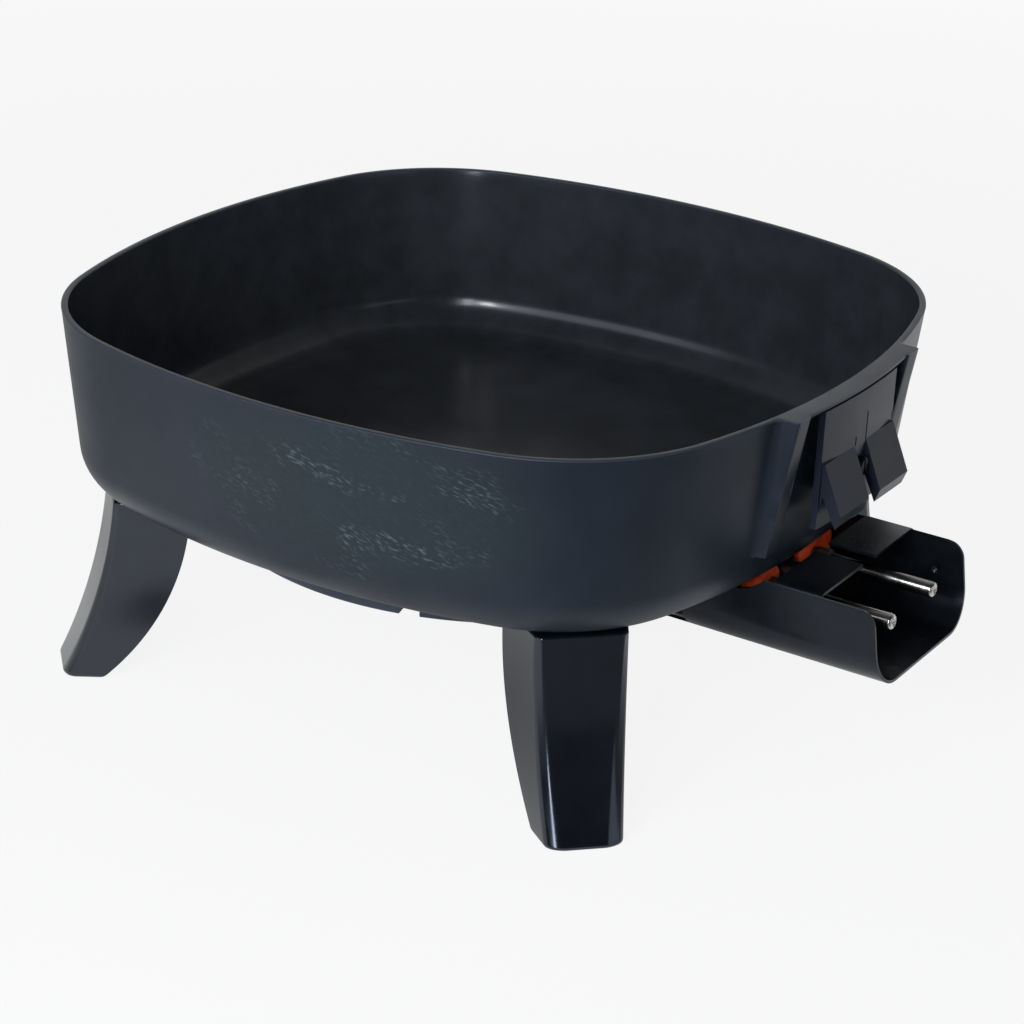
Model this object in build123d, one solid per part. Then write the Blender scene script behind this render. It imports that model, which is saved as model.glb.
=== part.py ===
from build123d import *
from math import atan2, cos, hypot, pi, radians, sin, sqrt, tan
import os

# An electric skillet: a square cast pan with bowed sides on four moulded legs. A sheathed heating
# element is cast into a ring under the pan, and its two contact pins stand in a sheet metal
# shroud, where a heat control plugs in. Millimetres, +Z up, standing on Z = 0. The pan's axis is
# upright through X = 0, Y = 0 while the pieces are made, with the contact pins towards +X. The
# last step moves all of them so that the origin lies under the middle of the whole object.

# General clearances, and how far one shape runs into another before they are joined
fit_gap = 0.10
seat_gap = 0.15
overlap = 1.0

# Pan: a square whose sides are long arcs and whose corners are short ones
pan_size = 300.0
rim_height = 147.0
pan_depth = 72.8
side_bow_radius = 311.0
corner_radius = 76.7
wall = 2.6
floor_thickness = 3.6
wall_draft = 6.0
outer_fillet = 18.6
inner_fillet = 16.0

# Cast ring under the pan, around the heating element
ring_inset = 40.0
ring_width = 18.0
ring_drop = 15.2
ring_edge_round = 1.5
ring_notch_angle = 73.0
ring_notch_width = 8.2
ring_notch_depth = 3.4

# Heating element: tubular sheath with powder insulation round a wire coil
element_drop = 6.6
sheath_diameter = 8.0
sheath_wall = 0.7
coil_diameter = 2.9
coil_wall = 0.5
element_bend_radius = 14.0
terminal_spacing = 34.6

# Terminal boss, seals, bushings, pins and probe sleeve
terminal_boss_inset = 22.5
terminal_boss_side_gap = 3.3
terminal_boss_depth = 17.0
seal_side_gap = 2.45
seal_inner_reach = 9.45
seal_height = 16.0
seal_thickness = 5.2
sheath_inset = 15.0
bushing_diameter = 8.4
bushing_length = 5.4
pin_diameter = 6.2
pin_reach = 33.1
pin_tip_chamfer = 0.5
pin_dimple_diameter = 2.6
pin_dimple_depth = 0.6
pin_bore_depth = 12.0
probe_bore_diameter = 6.6
probe_sleeve_wall = 0.8
probe_sleeve_inset = 11.0
probe_depth = 26.0

# Terminal shroud: bent sheet, open at the top between two flanges
shroud_reach = 38.7
shroud_sheet = 1.2
shroud_width = 76.0
shroud_rise = 6.5
shroud_drop = 25.9
shroud_wall_step = 1.0
shroud_pan_gap = 1.0
shroud_bottom_radius = 15.0
shroud_top_radius = 2.2
shroud_slot = 10.0
shroud_flange_inset = 5.7
shroud_flange_length = 19.2
shroud_length = 91.7
shroud_end_lean = 4.5
shroud_corner_round = 6.0
shroud_wall_length = 71.2
shroud_cut_radius = 10.0
shroud_cut_rise = 16.7
shroud_screw_spacing = 32.0
shroud_screw_edge = 7.0
standoff_diameter = 9.0

# Handle bracket and the cast frame that holds it
frame_width = 96.0
frame_rib_width = 9.0
frame_top_reach = 3.9
frame_bottom_inset = 5.0
frame_depth = 54.0
frame_edge_round = 1.2
ledge_reach = 5.4
ledge_thickness = 3.4
ledge_lip = 1.1
bracket_width = 57.0
bracket_sheet = 2.5
bracket_top_gap = 0.7
bracket_height = 45.2
bracket_face_reach = 5.6
tab_width = 23.0
tab_gap = 9.0
tab_top_drop = 22.0
tab_reach = 7.8
tab_face_drop = 18.2
tab_tip_back = 2.0
tab_tip_drop = 5.2
tab_root = 12.0
tab_set_back = 0.3
tab_edge_round = 0.6
relief_width = 1.0
relief_depth = 0.9
relief_long = 11.0
relief_short = 3.5
bracket_screw_drops = (31.0, 41.0)
bracket_post_diameter = 8.0

# Legs: hollow mouldings, open towards the pan's axis, with chamfered outer edges
leg_corner_inset = 16.9
leg_flare = 20.6
leg_outer_bow = 4.1
leg_depth_top = 28.4
leg_depth_foot = 15.1
leg_inner_bow = 9.3
leg_inner_width_top = 44.9
leg_inner_width_foot = 32.5
leg_inner_width_swell = 4.0
leg_side_width_top = 33.8
leg_side_width_foot = 28.2
leg_side_width_swell = 1.5
leg_face_width_top = 29.8
leg_face_width_foot = 19.1
leg_face_width_swell = 0.7
leg_chamfer_depth = 2.2
leg_wall = 3.2
leg_foot_thickness = 4.0
leg_seat_thickness = 4.2
leg_sections = 7

# Cast bosses that the legs are screwed to, each inside the pocket in its leg's top
leg_boss_overlap = 4.0
leg_nose_depth = 12.5
leg_boss_width = 31.0
leg_boss_drop = 11.2
leg_boss_round = 4.0
leg_screw_setback = 9.5

# Screws and washers
m5_shank = 4.8
m5_head = 9.0
m5_head_height = 3.0
m5_length = 14.0
blind_gap = 1.0
m5_washer = 11.0
m5_washer_thickness = 1.0
m4_shank = 3.8
m4_head = 7.6
m4_head_height = 2.4
m4_length = 8.0
slot_width = 1.0
slot_depth = 1.1

# Sizes that follow from the ones above
half = pan_size / 2
underside = rim_height - pan_depth
draft_inset = pan_depth * tan(radians(wall_draft))
bow_centre = half - side_bow_radius
corner_centre = (bow_centre + sqrt(2 * (side_bow_radius - corner_radius) ** 2 - bow_centre**2)) / 2
corner_reach = corner_centre * sqrt(2) + corner_radius
ring_outer_radius = half - ring_inset
ring_bottom = underside - ring_drop
element_radius = ring_outer_radius - ring_width / 2
element_height = underside - element_drop
sheath_inner = sheath_diameter / 2 - sheath_wall
sheath_end = half - sheath_inset
terminal_boss_start = ring_outer_radius - ring_width + leg_boss_overlap
terminal_boss_reach = half - terminal_boss_inset
boss_bottom = underside - terminal_boss_depth
probe_sleeve_end = half - probe_sleeve_inset
pin_tip = half + pin_reach
shroud_end = half + shroud_reach
shroud_start = shroud_end - shroud_length
shroud_wall_start = shroud_end - shroud_wall_length
shroud_half = shroud_width / 2
shroud_inside = shroud_half - shroud_sheet
shroud_top = underside + shroud_rise
shroud_bottom = underside - shroud_drop
shroud_wall_top = shroud_top - shroud_wall_step
shroud_screw_x = shroud_start + shroud_screw_edge
shroud_screw_sides = (-shroud_screw_spacing / 2, shroud_screw_spacing / 2)
leg_top = corner_reach - leg_corner_inset
leg_seat = underside - leg_boss_drop
leg_boss_start = ring_outer_radius - leg_boss_overlap
leg_boss_end = leg_top - leg_nose_depth
leg_screw_radius = leg_boss_end - leg_screw_setback
leg_washer_top = leg_seat - seat_gap - leg_seat_thickness - fit_gap / 2
leg_screw_head = leg_washer_top - m5_washer_thickness - fit_gap / 2
corner_angles = {"front": -45, "left": -135, "back": 135, "right": 45}
terminal_sides = {"left": -1, "right": 1}


def between(x0, x1, y0, y1, z0, z1):
    """A box from one corner to the opposite one."""
    size = Box(x1 - x0, y1 - y0, z1 - z0)
    return Pos((x0 + x1) / 2, (y0 + y1) / 2, (z0 + z1) / 2) * size


def cylinder_x(diameter, x0, x1, y, z):
    """A round bar along X."""
    bar = Cylinder(diameter / 2, x1 - x0)
    return Pos((x0 + x1) / 2, y, z) * Rot(0, 90, 0) * bar


def cylinder_z(diameter, z0, z1, x, y):
    """A round bar along Z."""
    return Pos(x, y, (z0 + z1) / 2) * Cylinder(diameter / 2, z1 - z0)


def side_profile(points, y0, y1):
    """A closed polygon of X and Z values, carried from y0 to y1."""
    outline = Plane.XZ * make_face(Polyline(*points, close=True))
    return Pos(0, y1, 0) * extrude(outline, y1 - y0)


def pan_outline(inset, height):
    """The pan's bowed square, moved in by inset, as a face at a height."""
    turn = atan2(corner_centre, corner_centre - bow_centre)
    bow = side_bow_radius - inset
    bow_end = (bow_centre + bow * cos(turn), bow * sin(turn))
    diagonal = (corner_reach - inset) / sqrt(2)
    edges = []
    for k in range(4):
        side = ThreePointArc((bow_end[0], -bow_end[1]), (half - inset, 0), bow_end)
        corner = ThreePointArc(bow_end, (diagonal, diagonal), (bow_end[1], bow_end[0]))
        edges += [Rot(0, 0, 90 * k) * side, Rot(0, 0, 90 * k) * corner]
    return Pos(0, 0, height) * make_face(Wire(edges))


def pan_shape(inset, bottom, fillet_radius):
    """A drafted bowl-shaped solid from the rim down to a height, with a round bottom edge."""
    depth = rim_height - bottom
    narrower = inset + depth * tan(radians(wall_draft))
    top = pan_outline(inset, rim_height)
    base = pan_outline(narrower, bottom)
    solid = loft([base, top], ruled=True)
    return fillet(solid.edges().group_by(Axis.Z)[0], fillet_radius)


def element_bend():
    """The middle of the bend at y > 0 between a straight end and the ring."""
    y = terminal_spacing / 2 + element_bend_radius
    return sqrt((element_radius + element_bend_radius) ** 2 - y**2), y


def element_path(hot_part_only=False):
    """The element's centre line: straight in, a bend, round the ring, a bend, straight out."""
    x, y = element_bend()
    ring = element_radius
    bend = element_bend_radius
    terminal_y = y - bend
    scale = ring / (ring + bend)
    join = (x * scale, y * scale)
    turn = atan2(y, x) / 2 - 3 * pi / 4
    middle = (x + bend * cos(turn), y + bend * sin(turn))
    bend_in = ThreePointArc((x, terminal_y), middle, join)
    loop = ThreePointArc(join, (-ring, 0), (join[0], -join[1]))
    bend_out = ThreePointArc((join[0], -join[1]), (middle[0], -middle[1]), (x, -terminal_y))
    edges = [bend_in, loop, bend_out]
    if not hot_part_only:
        lead_in = Line((sheath_end, terminal_y), (x, terminal_y))
        lead_out = Line((x, -terminal_y), (sheath_end, -terminal_y))
        edges = [lead_in, *edges, lead_out]
    return Wire([Pos(0, 0, element_height) * edge for edge in edges])


def swept(radius, path):
    """A round bar of the given radius along a path."""
    start = path.position_at(0)
    section = Plane(origin=start, z_dir=path.tangent_at(0)) * Circle(radius)
    return sweep(section, path)


def base_ring():
    """The cast ring under the pan, with two notches in its lower edge."""
    top = underside + overlap
    outer = cylinder_z(2 * ring_outer_radius, ring_bottom, top, 0, 0)
    low = outer.edges().group_by(Axis.Z)[0]
    outer = fillet(low, ring_edge_round)
    ring = outer - cylinder_z(2 * (ring_outer_radius - ring_width), 0, top, 0, 0)
    for angle in (-ring_notch_angle, ring_notch_angle):
        notch = Box(3 * ring_width, ring_notch_width, 2 * ring_notch_depth)
        ring -= Rot(0, 0, angle) * Pos(ring_outer_radius, 0, ring_bottom) * notch
    return ring


def terminal_boss():
    """The cast block that the element's ends and the probe sleeve come out of."""
    w = shroud_inside - terminal_boss_side_gap
    block = between(terminal_boss_start, terminal_boss_reach, -w, w, boss_bottom, underside + overlap)
    block = fillet(block.edges().filter_by(Axis.Z).group_by(Axis.X)[-1], 2 * ring_edge_round)
    post_end = shroud_bottom + shroud_sheet + fit_gap
    for y in shroud_screw_sides:
        block += cylinder_z(standoff_diameter, post_end, boss_bottom + overlap, shroud_screw_x, y)
        hole_top = post_end + m4_length + blind_gap
        block -= cylinder_z(m4_shank + 2 * fit_gap, 0, hole_top, shroud_screw_x, y)
    return block


def leg_boss(angle):
    """The cast pad that one leg is screwed to, with its blind hole."""
    w = leg_boss_width / 2
    pad = between(leg_boss_start, leg_boss_end, -w, w, leg_seat, underside + overlap)
    pad = fillet(pad.edges().filter_by(Axis.Z).group_by(Axis.X)[-1], leg_boss_round)
    hole_top = leg_screw_head + m5_length + blind_gap
    hole = cylinder_z(m5_shank + 2 * fit_gap, 0, hole_top, leg_screw_radius, 0)
    return Rot(0, 0, angle) * (pad - hole)


def bowed_slab(inner_reach, outer_reach, width, bottom, top):
    """An upright slab that follows the pan's bowed +X side, between two reaches past it."""
    slab = cylinder_z(2 * (side_bow_radius + outer_reach), bottom, top, bow_centre, 0)
    slab -= cylinder_z(2 * (side_bow_radius + inner_reach), bottom, top, bow_centre, 0)
    return slab & between(half / 2, 2 * half, -width / 2, width / 2, bottom, top)


def bracket_frame():
    """Two ribs and a ledge on the pan's +X wall, and the posts behind the bracket."""
    base = rim_height - frame_depth
    inside = half - draft_inset - outer_fillet
    rib = [
        (inside, rim_height),
        (half + frame_top_reach, rim_height),
        (half - frame_bottom_inset, base),
        (inside, base),
    ]
    far = frame_width / 2
    near = far - frame_rib_width
    ribs = side_profile(rib, near, far) + side_profile(rib, -far, -near)
    ribs = fillet(ribs.edges().filter_by(GeomType.LINE).group_by(Axis.X)[-1], frame_edge_round)
    back = bracket_face_reach - bracket_sheet - fit_gap
    span = frame_width - frame_rib_width
    ledge = bowed_slab(-wall, back, span, rim_height - ledge_thickness, rim_height)
    lip = bowed_slab(0, ledge_reach, span, rim_height - ledge_lip, rim_height)
    frame = ribs + ledge + lip
    for drop in bracket_screw_drops:
        z = rim_height - drop
        frame += cylinder_x(bracket_post_diameter, inside, half + back, 0, z)
    return frame


def bracket_screw_hole(z):
    """The hole for one bracket screw, through the bracket and into its post."""
    end = half + bracket_face_reach
    start = end - m4_length - blind_gap
    return cylinder_x(m4_shank + 2 * fit_gap, start, end + overlap, 0, z)


def pan_body():
    """The cast pan with its ring, bosses and bracket frame in one piece."""
    body = pan_shape(0, underside, outer_fillet)
    body += base_ring()
    body += terminal_boss()
    for angle in corner_angles.values():
        body += leg_boss(angle)
    body += bracket_frame()
    body -= pan_shape(wall, underside + floor_thickness, inner_fillet)
    body -= swept(sheath_diameter / 2 + fit_gap, element_path())
    sleeve = probe_bore_diameter + 2 * probe_sleeve_wall + 2 * fit_gap
    body -= cylinder_x(sleeve, probe_sleeve_end - probe_depth, half, 0, element_height)
    for drop in bracket_screw_drops:
        body -= bracket_screw_hole(rim_height - drop)
    return body


def element_sheath():
    """The element's steel tube."""
    path = element_path()
    return swept(sheath_diameter / 2, path) - swept(sheath_inner, path)


def element_insulation():
    """The pressed powder between the tube and the wire."""
    path = element_path()
    bore = swept((coil_diameter + fit_gap) / 2, path)
    return swept(sheath_inner - fit_gap / 2, path) - bore


def resistance_coil():
    """The space that the wire coil takes in the hot part of the element."""
    path = element_path(hot_part_only=True)
    return swept(coil_diameter / 2, path) - swept(coil_diameter / 2 - coil_wall, path)


def cold_pin(side):
    """The lead from the coil's end, through the bushing, into the contact pin."""
    y = side * terminal_spacing / 2
    start = element_bend()[0] + fit_gap
    end = sheath_end + bushing_length + pin_bore_depth
    return cylinder_x(coil_diameter, start, end, y, element_height)


def ceramic_bushing(side):
    """The bead that closes the sheath's end."""
    y = side * terminal_spacing / 2
    start = sheath_end + fit_gap
    end = sheath_end + bushing_length
    bead = cylinder_x(bushing_diameter, start, end, y, element_height)
    bead = fillet(bead.edges().group_by(Axis.X)[-1], pin_tip_chamfer)
    return bead - cylinder_x(coil_diameter + fit_gap, start, end, y, element_height)


def contact_pin(side):
    """The plated pin that a heat control's socket slides onto."""
    y = side * terminal_spacing / 2
    z = element_height
    start = sheath_end + bushing_length + fit_gap
    pin = cylinder_x(pin_diameter, start, pin_tip, y, z)
    pin = chamfer(pin.edges().group_by(Axis.X)[-1], pin_tip_chamfer)
    dimple = cylinder_x(pin_dimple_diameter, pin_tip - pin_dimple_depth, pin_tip + overlap, y, z)
    bore = cylinder_x(coil_diameter + fit_gap, start, start + pin_bore_depth + fit_gap, y, z)
    return pin - dimple - bore


def terminal_seal(side):
    """The silicone seal round the sheath, on the boss's face."""
    near = terminal_spacing / 2 - seal_inner_reach
    far = shroud_inside - seal_side_gap
    y = side * (near + far) / 2
    start = terminal_boss_reach + fit_gap
    top = underside - fit_gap
    outline = Plane.YZ * RectangleRounded(far - near, seal_height, seal_height / 2 - fit_gap)
    seal = Pos(start, y, top - seal_height / 2) * extrude(outline, seal_thickness)
    hole_y = side * terminal_spacing / 2
    hole = sheath_diameter + 2 * fit_gap
    return seal - cylinder_x(hole, start, sheath_end, hole_y, element_height)


def probe_sleeve():
    """The tube between the pins that the heat control's probe enters."""
    start = probe_sleeve_end - probe_depth + fit_gap
    outer = probe_bore_diameter + 2 * probe_sleeve_wall
    tube = cylinder_x(outer, start, probe_sleeve_end, 0, element_height)
    inside = start + probe_sleeve_wall
    bore = cylinder_x(probe_bore_diameter, inside, probe_sleeve_end, 0, element_height)
    return tube - bore


def shroud_section(inset):
    """The shroud's closed cross-section, moved in by inset, as a face across X."""
    w = shroud_half - inset
    low = shroud_bottom + inset
    high = shroud_top - inset
    bend = shroud_bottom_radius - inset
    crease = shroud_top_radius - inset
    outline = make_face(Polyline((-w, low), (w, low), (w, high), (-w, high), close=True))
    corners = outline.vertices()
    outline = fillet(corners.group_by(Axis.Y)[0], bend)
    outline = fillet(outline.vertices().group_by(Axis.Y)[-1], crease)
    return Plane.YZ * outline


def pan_edge_space(gap):
    """The space that the pan's rounded lower edge takes above the shroud, grown by gap."""
    middle_x = half - draft_inset - outer_fillet * tan(radians((90 - wall_draft) / 2))
    middle_z = underside + outer_fillet
    edge = Cylinder(outer_fillet + gap, 2 * shroud_width)
    edge = Pos(middle_x, 0, middle_z) * Rot(90, 0, 0) * edge
    w = shroud_width
    return edge + between(0, middle_x, -w, w, underside - gap, rim_height)


def shroud_side():
    """The shroud's side view, as a block: what its cut-outs leave of the bent sheet."""
    w = shroud_width
    end = shroud_end - shroud_end_lean
    outline = [
        (shroud_wall_start, shroud_bottom),
        (shroud_end, shroud_bottom),
        (end, shroud_wall_top),
        (shroud_wall_start, shroud_wall_top),
    ]
    walls = side_profile(outline, -w, w)
    corner = walls.edges().filter_by(Axis.Y).group_by(Axis.Z)[-1].sort_by(Axis.X)[-1]
    walls = fillet(corner, shroud_corner_round) - pan_edge_space(shroud_pan_gap)
    cut_x = shroud_wall_start - shroud_cut_radius
    cut_z = shroud_bottom + shroud_cut_rise
    foot = between(cut_x, shroud_wall_start + overlap, -w, w, shroud_bottom, cut_z)
    foot -= Pos(cut_x, 0, cut_z) * Rot(90, 0, 0) * Cylinder(shroud_cut_radius, 2 * w)
    plate_top = shroud_bottom + 1.5 * shroud_sheet
    plate = between(shroud_start, shroud_wall_start, -w, w, shroud_bottom, plate_top)
    flange_start = half - shroud_flange_inset
    flange_end = flange_start + shroud_flange_length
    low = shroud_wall_top - shroud_sheet
    return walls + foot + plate + between(flange_start, flange_end, -w, w, low, shroud_top)


def terminal_shroud():
    """The bent sheet round the contact pins, screwed to the boss from below."""
    outer = extrude(shroud_section(0), shroud_length)
    sheet = Pos(shroud_start, 0, 0) * (outer - extrude(shroud_section(shroud_sheet), shroud_length))
    slot_bottom = shroud_wall_top - 2 * shroud_sheet
    slot = between(0, 2 * half, -shroud_slot / 2, shroud_slot / 2, slot_bottom, rim_height)
    sheet = (sheet - slot) & shroud_side()
    for y in shroud_screw_sides:
        sheet -= cylinder_z(m4_shank + 4 * fit_gap, 0, underside, shroud_screw_x, y)
    return sheet


def handle_bracket():
    """The bowed plate under the ledge, with two wedge tabs that flare out for a handle."""
    top = rim_height - ledge_lip - bracket_top_gap
    bottom = top - bracket_height
    back = half + bracket_face_reach - bracket_sheet
    face = half + bracket_face_reach - tab_set_back
    plate = bowed_slab(back - half, bracket_face_reach, bracket_width, bottom, top)
    tab_top = rim_height - tab_top_drop
    tip_x = face + tab_reach
    tip_z = tab_top - tab_face_drop
    root = tab_top - tab_root
    wedge = [
        (face, tab_top),
        (tip_x, tip_z),
        (tip_x - tab_tip_back, tip_z - tab_tip_drop),
        (face, root),
        (back + overlap, root),
        (back + overlap, tab_top),
    ]
    inner = tab_gap / 2
    outer = inner + tab_width
    for y0, y1 in ((-outer, -inner), (inner, outer)):
        tab = side_profile(wedge, y0, y1)
        plate += fillet(tab.edges().group_by(Axis.X)[-1], tab_edge_round)
    w = relief_width / 2
    for y, length in ((inner, relief_long), (-inner, relief_short), (outer, relief_short)):
        front = half + bracket_face_reach - y**2 / (2 * side_bow_radius)
        low = tab_top - relief_depth / 2
        plate -= between(front - relief_depth, front + overlap, y - w, y + w, low, tab_top + length)
    for drop in bracket_screw_drops:
        plate -= bracket_screw_hole(rim_height - drop)
    return plate


def circle_through(a, b, c):
    """Centre and radius of the circle through three points."""
    ax, ay = a
    bx, by = b
    cx, cy = c
    d = 2 * (ax * (by - cy) + bx * (cy - ay) + cx * (ay - by))
    aa, bb, cc = ax**2 + ay**2, bx**2 + by**2, cx**2 + cy**2
    x = (aa * (by - cy) + bb * (cy - ay) + cc * (ay - by)) / d
    y = (aa * (cx - bx) + bb * (ax - cx) + cc * (bx - ax)) / d
    return x, y, hypot(ax - x, ay - y)


def leg_curve(top, foot, bow, z):
    """How far from the pan's axis an arc from the leg's top to its foot lies at z."""
    middle = ((top + foot) / 2 - bow, underside / 2)
    x, y, r = circle_through((top, underside), middle, (foot, 0))
    return x - sqrt(r**2 - (z - y) ** 2)


def leg_width(top, foot, swell, z):
    """Half of a width that narrows from the leg's top to its foot and swells halfway."""
    s = z / underside
    return (foot + (top - foot) * s + 4 * swell * s * (1 - s)) / 2


def leg_section(z, thickness):
    """The leg's outline at a height, moved in by thickness but open on the inner side."""
    foot = leg_top + leg_flare
    inner = leg_curve(leg_top - leg_depth_top, foot - leg_depth_foot, leg_inner_bow, z)
    outer = leg_curve(leg_top, foot, leg_outer_bow, z) - thickness
    side = outer - leg_chamfer_depth
    if thickness:
        inner -= 2 * leg_wall
    a = leg_width(leg_inner_width_top, leg_inner_width_foot, leg_inner_width_swell, z)
    b = leg_width(leg_side_width_top, leg_side_width_foot, leg_side_width_swell, z)
    c = leg_width(leg_face_width_top, leg_face_width_foot, leg_face_width_swell, z)
    a -= thickness
    b -= thickness
    c -= thickness / 2
    points = [(inner, -a), (side, -b), (outer, -c), (outer, c), (side, b), (inner, a)]
    return Pos(0, 0, z) * make_face(Polyline(*points, close=True))


def leg_loft(low, high, thickness):
    """The leg's shape between two heights, as a smooth loft through its outlines."""
    steps = leg_sections - 1
    heights = [low + (high - low) * k / steps for k in range(leg_sections)]
    return loft([leg_section(z, thickness) for z in heights])


def leg(angle):
    """One leg: a hollow moulding whose top has a pocket for its boss, with walls round it."""
    seat = leg_seat - seat_gap
    body = leg_loft(0, underside - seat_gap, 0)
    body -= leg_loft(leg_foot_thickness, seat - leg_seat_thickness, leg_wall)
    nose = leg_boss_end + seat_gap
    w = leg_boss_width / 2 + seat_gap
    body -= between(0, nose, -w, w, seat, rim_height)
    body -= cylinder_z(m5_shank + 4 * fit_gap, 0, rim_height, leg_screw_radius, 0)
    return Rot(0, 0, angle) * body


def screw(shank, head, head_height, length):
    """A slotted pan-head screw, pointing up +Z, with its head's underside at Z = 0."""
    body = cylinder_z(shank, -head_height / 4, length, 0, 0)
    cap = cylinder_z(head, -head_height, 0, 0, 0)
    cap = fillet(cap.edges().group_by(Axis.Z)[0], head_height / 2)
    body = chamfer((body + cap).edges().group_by(Axis.Z)[-1], shank / 8)
    return body - Pos(0, 0, -head_height) * Box(head, slot_width, 2 * slot_depth)


def leg_screws():
    """The screws that hold the legs, one under each seat."""
    one = screw(m5_shank, m5_head, m5_head_height, m5_length)
    one = Pos(leg_screw_radius, 0, leg_screw_head) * one
    return [Rot(0, 0, angle) * one for angle in corner_angles.values()]


def leg_washers():
    """The washers under the leg screws' heads."""
    low = leg_washer_top - m5_washer_thickness
    ring = cylinder_z(m5_washer, low, leg_washer_top, leg_screw_radius, 0)
    ring -= cylinder_z(m5_shank + 4 * fit_gap, low, leg_washer_top, leg_screw_radius, 0)
    return [Rot(0, 0, angle) * ring for angle in corner_angles.values()]


def shroud_screws():
    """The screws that hold the shroud to the boss's posts."""
    one = screw(m4_shank, m4_head, m4_head_height, m4_length)
    z = shroud_bottom - fit_gap
    return [Pos(shroud_screw_x, y, z) * one for y in shroud_screw_sides]


def bracket_screws():
    """The screws that hold the bracket to its posts, in the gap between the tabs."""
    one = screw(m4_shank, m4_head, m4_head_height, m4_length)
    x = half + bracket_face_reach + fit_gap
    return [
        Pos(x, 0, rim_height - drop) * Rot(0, -90, 0) * one for drop in bracket_screw_drops
    ]


def export(name, shape):
    """Writes one node, moved so that the whole object is centred over the origin."""
    to_origin = Pos((half - shroud_end) / 2, 0, 0)
    parts = shape if isinstance(shape, list) else [shape]
    solids = [s for p in parts for s in (to_origin * p).solids()]
    export_step(solids[0] if len(solids) == 1 else Compound(solids), f"parts/{name}.step")


def main():
    os.makedirs("parts", exist_ok=True)
    export("pan_body", pan_body())
    export("element_sheath", element_sheath())
    export("element_insulation", element_insulation())
    export("resistance_coil", resistance_coil())
    for name, side in terminal_sides.items():
        export(f"cold_pin_{name}", cold_pin(side))
        export(f"ceramic_bushing_{name}", ceramic_bushing(side))
        export(f"contact_pin_{name}", contact_pin(side))
        export(f"terminal_seal_{name}", terminal_seal(side))
    export("probe_sleeve", probe_sleeve())
    export("terminal_shroud", terminal_shroud())
    export("shroud_screws", shroud_screws())
    export("handle_bracket", handle_bracket())
    export("bracket_screws", bracket_screws())
    for name, angle in corner_angles.items():
        export(f"leg_{name}", leg(angle))
    export("leg_screws", leg_screws())
    export("leg_washers", leg_washers())


main()
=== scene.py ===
"""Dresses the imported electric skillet: smooth castings and mouldings, finishes, light and camera.

Lengths in the shapes below are millimetres, measured from the pan's own upright axis and from
the plane that the feet stand on. placed() turns them into metres in the shared frame.
"""

from math import atan2, cos, pi, radians, sin, sqrt, tan

import bmesh
import bpy
import numpy as np
from mathutils import Matrix, Vector


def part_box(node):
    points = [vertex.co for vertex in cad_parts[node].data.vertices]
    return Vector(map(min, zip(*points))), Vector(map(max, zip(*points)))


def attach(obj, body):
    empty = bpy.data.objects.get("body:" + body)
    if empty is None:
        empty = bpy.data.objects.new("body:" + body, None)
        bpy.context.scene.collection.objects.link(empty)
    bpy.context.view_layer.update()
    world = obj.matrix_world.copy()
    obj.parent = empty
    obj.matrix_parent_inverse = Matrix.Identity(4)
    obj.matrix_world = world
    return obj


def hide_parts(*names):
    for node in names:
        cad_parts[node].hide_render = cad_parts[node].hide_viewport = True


bl_info = {
    "name": "Electric Skillet",
    "version": (1, 0, 0),
    "blender": (4, 5, 0),
    "location": "3D View > Sidebar > Skillet",
    "description": "Builds the visible pieces of an electric skillet round its solids",
    "category": "Add Mesh",
}

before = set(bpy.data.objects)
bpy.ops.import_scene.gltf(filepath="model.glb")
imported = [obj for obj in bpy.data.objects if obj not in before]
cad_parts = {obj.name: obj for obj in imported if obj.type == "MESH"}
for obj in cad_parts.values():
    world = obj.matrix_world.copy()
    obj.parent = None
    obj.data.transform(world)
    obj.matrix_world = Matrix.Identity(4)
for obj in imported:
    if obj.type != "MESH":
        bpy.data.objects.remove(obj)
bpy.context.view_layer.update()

MM = 0.001
SAME_POINT = 0.002 * MM
pan_low, pan_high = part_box("pan_body")
PAN_HALF = (pan_high.y - pan_low.y) / 2 / MM
PAN_AXIS = pan_low.x / MM + PAN_HALF
RIM = pan_high.z / MM

# Pan casting
DRAFT = radians(6.0)
RIB_INNER = 39.0
RIB_OUTER = 48.0
RIB_BOTTOM = 93.0
RIB_TOP_REACH = 3.9
RIB_BOTTOM_REACH = -5.0
LEDGE_HALF = 43.5
LEDGE_REACH = 3.0
LEDGE_BOTTOM = 143.6
LIP_REACH = 5.4
LIP_BOTTOM = 145.9

# Ring and bosses under the pan
RING_OUTER = 110.0
RING_INNER = 92.0
RING_BOTTOM = 59.0
RING_EDGE = 1.5
NOTCH_ANGLE = radians(73.0)
NOTCH_WIDTH = 8.2
NOTCH_DEPTH = 3.4
CAST_OVERLAP = 1.0

# Bosses: two opposite corners and a corner round, and how far each goes down. Posts: half
# sections of (along the axis, radius), and where their axes are.
TERMINAL_BOSS = (96, 127.5, -33.5, 33.5, 3.0)
TERMINAL_BOSS_DROP = 18
LEG_BOSS = (106, 138.2, -15.5, 15.5, 4.0)
LEG_BOSS_DROP = 12.2
SHROUD_POST = [(49.6, 0), (49.6, 4.2), (49.9, 4.5), (60, 4.5)]
SHROUD_POST_PLACES = [(104, -16, 0), (104, 16, 0)]
BRACKET_POST = [(144.9, 4), (152.7, 4), (153.0, 3.7), (153.0, 0)]
BRACKET_POST_PLACES = [(0, 0, 106), (0, 0, 116)]

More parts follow.
